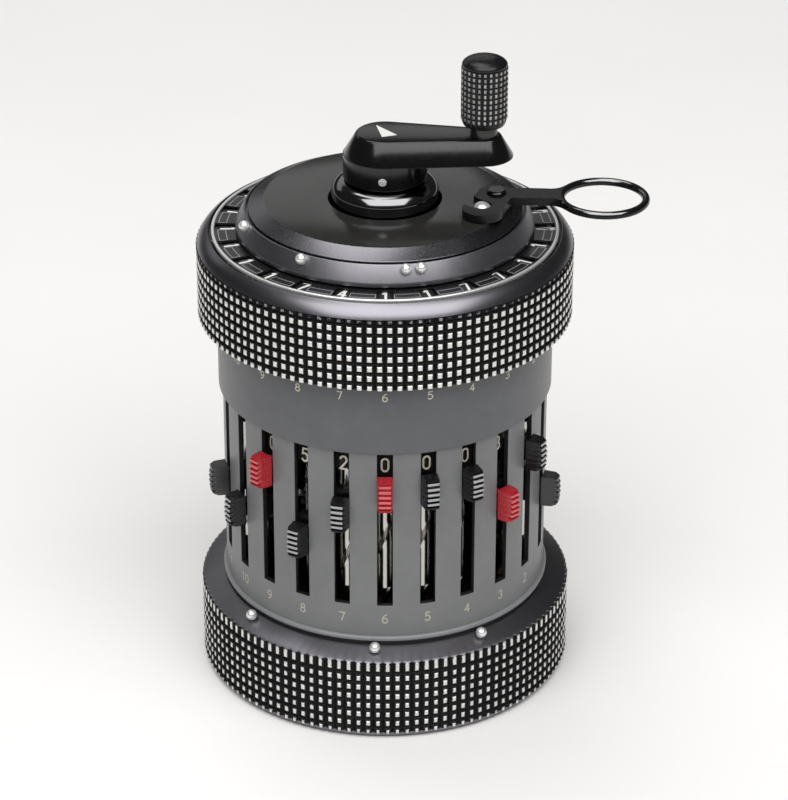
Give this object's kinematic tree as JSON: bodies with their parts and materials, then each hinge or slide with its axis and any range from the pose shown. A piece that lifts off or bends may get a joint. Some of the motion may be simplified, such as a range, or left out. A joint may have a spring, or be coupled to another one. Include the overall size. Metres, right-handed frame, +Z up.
{
  "type": "mechanical calculator",
  "caption": "Cylindrical hand-held mechanical calculator with setting slides, turning digit carriage, clearing lever and top crank.",
  "frame": {"origin": "centre of the flat underside, on the main axis", "axes": "+Z up along the main shaft, -Y towards the front slide, +X towards the crank knob and the clearing lever"},
  "size_m": [0.0781, 0.0662, 0.1142],
  "materials": {
    "grey_paint": "fine textured satin enamel",
    "black_knurl": "black finish, worn bright at the knurl's points",
    "black_satin": "satin black",
    "black_gloss": "gloss black",
    "black_plastic": "semi-gloss",
    "grey_button": "semi-gloss",
    "red_button": "semi-gloss",
    "bright_steel": "turned and polished",
    "aluminium": "machined",
    "brass": "machined",
    "black_dial": "matte with white figures",
    "light_dial": "satin with dark figures",
    "bead": "polished"
  },
  "bodies": {
    "housing": {"base_ring": "black_knurl", "base_cover": "black_satin", "base_screws": "bright_steel", "housing_tube": "grey_paint", "upper_collar": "grey_paint", "lower_bearing_plate": "brass", "upper_bearing_plate": "brass", "guide_tube": "bright_steel", "hub_collar": "black_gloss", "transmission_shafts": "bright_steel", "carry_gears": "brass", "carriage_spring": "bright_steel"},
    "reversing_lever": {"reversing_lever": "black_plastic"},
    "rotor": {"tens_bell": "aluminium"},
    "crank": {"main_shaft": "bright_steel", "step_drum": "aluminium", "crank_arm": "black_satin", "crank_pin": "bright_steel", "knob_stud": "black_satin"},
    "crank_knob": {"crank_knob": "black_knurl"},
    "carriage_slide": {"carriage_sleeve": "bright_steel"},
    "carriage": {"carriage_body": "black_knurl", "carriage_core": "black_satin", "window_ring": "black_satin", "result_dials": "black_dial", "counter_dials": "light_dial", "dial_axles": "bright_steel"},
    "clearing": {"clearing_plate": "black_gloss", "clearing_rack": "brass", "lever_screws": "bright_steel"},
    "clearing_lever": {"clearing_lever": "black_satin"},
    "slider_1": {"slider_1": "grey_button"},
    "slider_2": {"slider_2": "black_plastic"},
    "slider_3": {"slider_3": "red_button"},
    "slider_4": {"slider_4": "black_plastic"},
    "slider_5": {"slider_5": "black_plastic"},
    "slider_6": {"slider_6": "red_button"},
    "slider_7": {"slider_7": "black_plastic"},
    "slider_8": {"slider_8": "black_plastic"},
    "slider_9": {"slider_9": "red_button"},
    "slider_10": {"slider_10": "black_plastic"},
    "slider_11": {"slider_11": "grey_button"},
    "setting_shaft_1": {"setting_shaft_1": "bright_steel"},
    "setting_shaft_2": {"setting_shaft_2": "bright_steel"},
    "setting_shaft_3": {"setting_shaft_3": "bright_steel"},
    "setting_shaft_4": {"setting_shaft_4": "bright_steel"},
    "setting_shaft_5": {"setting_shaft_5": "bright_steel"},
    "setting_shaft_6": {"setting_shaft_6": "bright_steel"},
    "setting_shaft_7": {"setting_shaft_7": "bright_steel"},
    "setting_shaft_8": {"setting_shaft_8": "bright_steel"},
    "setting_shaft_9": {"setting_shaft_9": "bright_steel"},
    "setting_shaft_10": {"setting_shaft_10": "bright_steel"},
    "setting_shaft_11": {"setting_shaft_11": "bright_steel"},
    "base_bead_1": {"base_bead_1": "bead"},
    "base_bead_2": {"base_bead_2": "bead"},
    "base_bead_3": {"base_bead_3": "bead"},
    "carriage_bead_1": {"carriage_bead_1": "bead"},
    "carriage_bead_2": {"carriage_bead_2": "bead"},
    "carriage_bead_3": {"carriage_bead_3": "bead"},
    "carriage_bead_4": {"carriage_bead_4": "bead"}
  },
  "joints": [
    {"name": "crank_turn", "type": "hinge", "parent": "housing", "child": "rotor", "pos_m": [0, 0, 0.06], "axis": [0, 0, 1], "continuous": true},
    {"name": "crank_lift", "type": "slide", "parent": "rotor", "child": "crank", "axis": [0, 0, 1], "range_m": [0, 0.0033]},
    {"name": "knob_spin", "type": "hinge", "parent": "crank", "child": "crank_knob", "pos_m": [0.01667, -0.00099, 0.108], "axis": [0, 0, 1], "continuous": true},
    {"name": "carriage_lift", "type": "slide", "parent": "housing", "child": "carriage_slide", "axis": [0, 0, 1], "range_m": [0, 0.005], "stiffness_N_per_m": 900, "springref_m": -0.007, "deforming": ["carriage_spring"]},
    {"name": "carriage_turn", "type": "hinge", "parent": "carriage_slide", "child": "carriage", "pos_m": [0, 0, 0.078], "axis": [0, 0, 1], "range_deg": [0, 105]},
    {"name": "clearing_turn", "type": "hinge", "parent": "carriage", "child": "clearing", "pos_m": [0, 0, 0.087], "axis": [0, 0, 1], "continuous": true},
    {"name": "lever_fold", "type": "hinge", "parent": "clearing", "child": "clearing_lever", "pos_m": [0.01898, -0.0015, 0.0891], "axis": [0, 0, 1], "range_deg": [0, 115]},
    {"name": "reversing_slide", "type": "slide", "parent": "housing", "child": "reversing_lever", "axis": [0, 0, -1], "range_m": [0, 0.004]},
    {"name": "slide_1", "type": "slide", "parent": "housing", "child": "slider_1", "axis": [0, 0, -1], "range_m": [-0.011, 0.0088]},
    {"name": "slide_2", "type": "slide", "parent": "housing", "child": "slider_2", "axis": [0, 0, -1], "range_m": [0, 0.0198]},
    {"name": "slide_3", "type": "slide", "parent": "housing", "child": "slider_3", "axis": [0, 0, -1], "range_m": [-0.0066, 0.0132]},
    {"name": "slide_4", "type": "slide", "parent": "housing", "child": "slider_4", "axis": [0, 0, -1], "range_m": [0, 0.0198]},
    {"name": "slide_5", "type": "slide", "parent": "housing", "child": "slider_5", "axis": [0, 0, -1], "range_m": [0, 0.0198]},
    {"name": "slide_6", "type": "slide", "parent": "housing", "child": "slider_6", "axis": [0, 0, -1], "range_m": [0, 0.0198]},
    {"name": "slide_7", "type": "slide", "parent": "housing", "child": "slider_7", "axis": [0, 0, -1], "range_m": [-0.0044, 0.0154]},
    {"name": "slide_8", "type": "slide", "parent": "housing", "child": "slider_8", "axis": [0, 0, -1], "range_m": [-0.011, 0.0088]},
    {"name": "slide_9", "type": "slide", "parent": "housing", "child": "slider_9", "axis": [0, 0, -1], "range_m": [0, 0.0198]},
    {"name": "slide_10", "type": "slide", "parent": "housing", "child": "slider_10", "axis": [0, 0, -1], "range_m": [-0.011, 0.0088]},
    {"name": "slide_11", "type": "slide", "parent": "housing", "child": "slider_11", "axis": [0, 0, -1], "range_m": [-0.0088, 0.011]},
    {"name": "roll_1", "type": "hinge", "parent": "housing", "child": "setting_shaft_1", "pos_m": [0.02352, -0.0063, 0.035], "axis": [0, 0, 1], "range_deg": [-181, 145]},
    {"name": "roll_2", "type": "hinge", "parent": "housing", "child": "setting_shaft_2", "pos_m": [0.02109, -0.01218, 0.035], "axis": [0, 0, 1], "range_deg": [-1, 325]},
    {"name": "roll_3", "type": "hinge", "parent": "housing", "child": "setting_shaft_3", "pos_m": [0.01722, -0.01722, 0.035], "axis": [0, 0, 1], "range_deg": [-109, 217]},
    {"name": "roll_4", "type": "hinge", "parent": "housing", "child": "setting_shaft_4", "pos_m": [0.01218, -0.02109, 0.035], "axis": [0, 0, 1], "range_deg": [-1, 325]},
    {"name": "roll_5", "type": "hinge", "parent": "housing", "child": "setting_shaft_5", "pos_m": [0.0063, -0.02352, 0.035], "axis": [0, 0, 1], "range_deg": [-1, 325]},
    {"name": "roll_6", "type": "hinge", "parent": "housing", "child": "setting_shaft_6", "pos_m": [0, -0.02435, 0.035], "axis": [0, 0, 1], "range_deg": [-1, 325]},
    {"name": "roll_7", "type": "hinge", "parent": "housing", "child": "setting_shaft_7", "pos_m": [-0.0063, -0.02352, 0.035], "axis": [0, 0, 1], "range_deg": [-73, 253]},
    {"name": "roll_8", "type": "hinge", "parent": "housing", "child": "setting_shaft_8", "pos_m": [-0.01218, -0.02109, 0.035], "axis": [0, 0, 1], "range_deg": [-181, 145]},
    {"name": "roll_9", "type": "hinge", "parent": "housing", "child": "setting_shaft_9", "pos_m": [-0.01722, -0.01722, 0.035], "axis": [0, 0, 1], "range_deg": [-1, 325]},
    {"name": "roll_10", "type": "hinge", "parent": "housing", "child": "setting_shaft_10", "pos_m": [-0.02109, -0.01218, 0.035], "axis": [0, 0, 1], "range_deg": [-181, 145]},
    {"name": "roll_11", "type": "hinge", "parent": "housing", "child": "setting_shaft_11", "pos_m": [-0.02352, -0.0063, 0.035], "axis": [0, 0, 1], "range_deg": [-145, 181]},
    {"name": "base_bead_slide_1", "type": "hinge", "parent": "housing", "child": "base_bead_1", "pos_m": [0, 0, 0.017], "axis": [0, 0, 1], "range_deg": [-30, 20]},
    {"name": "base_bead_slide_2", "type": "hinge", "parent": "housing", "child": "base_bead_2", "pos_m": [0, 0, 0.017], "axis": [0, 0, 1], "range_deg": [-20, 15]},
    {"name": "base_bead_slide_3", "type": "hinge", "parent": "housing", "child": "base_bead_3", "pos_m": [0, 0, 0.017], "axis": [0, 0, 1], "range_deg": [-15, 30]},
    {"name": "carriage_bead_slide_1", "type": "hinge", "parent": "carriage", "child": "carriage_bead_1", "pos_m": [0, 0, 0.086], "axis": [0, 0, 1], "range_deg": [-30, 15]},
    {"name": "carriage_bead_slide_2", "type": "hinge", "parent": "carriage", "child": "carriage_bead_2", "pos_m": [0, 0, 0.086], "axis": [0, 0, 1], "range_deg": [-15, 20]},
    {"name": "carriage_bead_slide_3", "type": "hinge", "parent": "carriage", "child": "carriage_bead_3", "pos_m": [0, 0, 0.086], "axis": [0, 0, 1], "range_deg": [-15, 0.8]},
    {"name": "carriage_bead_slide_4", "type": "hinge", "parent": "carriage", "child": "carriage_bead_4", "pos_m": [0, 0, 0.086], "axis": [0, 0, 1], "range_deg": [-0.8, 40]}
  ],
  "couplings": [
    {"joint": "roll_1", "follows": "slide_1", "rad_per_m": 285.6},
    {"joint": "roll_2", "follows": "slide_2", "rad_per_m": 285.6},
    {"joint": "roll_3", "follows": "slide_3", "rad_per_m": 285.6},
    {"joint": "roll_4", "follows": "slide_4", "rad_per_m": 285.6},
    {"joint": "roll_5", "follows": "slide_5", "rad_per_m": 285.6},
    {"joint": "roll_6", "follows": "slide_6", "rad_per_m": 285.6},
    {"joint": "roll_7", "follows": "slide_7", "rad_per_m": 285.6},
    {"joint": "roll_8", "follows": "slide_8", "rad_per_m": 285.6},
    {"joint": "roll_9", "follows": "slide_9", "rad_per_m": 285.6},
    {"joint": "roll_10", "follows": "slide_10", "rad_per_m": 285.6},
    {"joint": "roll_11", "follows": "slide_11", "rad_per_m": 285.6}
  ]
}
